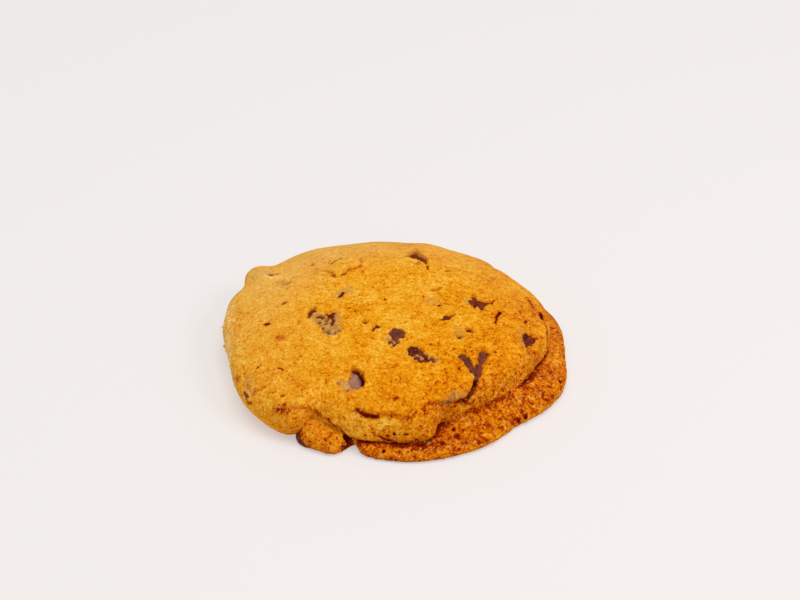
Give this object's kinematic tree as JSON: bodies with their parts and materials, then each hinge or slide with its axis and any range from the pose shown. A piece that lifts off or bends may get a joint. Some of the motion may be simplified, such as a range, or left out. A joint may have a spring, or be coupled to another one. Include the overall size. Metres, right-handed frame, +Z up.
{
  "type": "chocolate chip cookie",
  "caption": "Large round home-baked cookie with a domed crown, a thin spread apron, a folded front edge and dark chocolate chips set in the dough.",
  "frame": {"origin": "middle of the flat underside, centred on the outline's box", "axes": "+Z up from the tray to the crown, -Y towards the side with the folds and the tongue, +X towards the side with the widest apron"},
  "size_m": [0.0836, 0.0784, 0.0169],
  "materials": {
    "dough": "baked golden-brown dough, matte, fine granular crust",
    "chocolate": "dark chocolate, slightly glossy"
  },
  "bodies": {
    "root": {"biscuit": "dough", "chip_back_rim": "chocolate", "chip_back_lump": "chocolate", "chip_back_left": "chocolate", "chip_left_large": "chocolate", "chip_middle_sliver": "chocolate", "chip_middle": "chocolate", "chip_middle_long": "chocolate", "chip_on_edge": "chocolate", "chip_fork": "chocolate", "chip_right_flat": "chocolate", "chip_right_small": "chocolate", "chip_right_rim": "chocolate", "chip_left_side": "chocolate", "chip_fold": "chocolate", "chip_under_edge": "chocolate"}
  },
  "joints": []
}
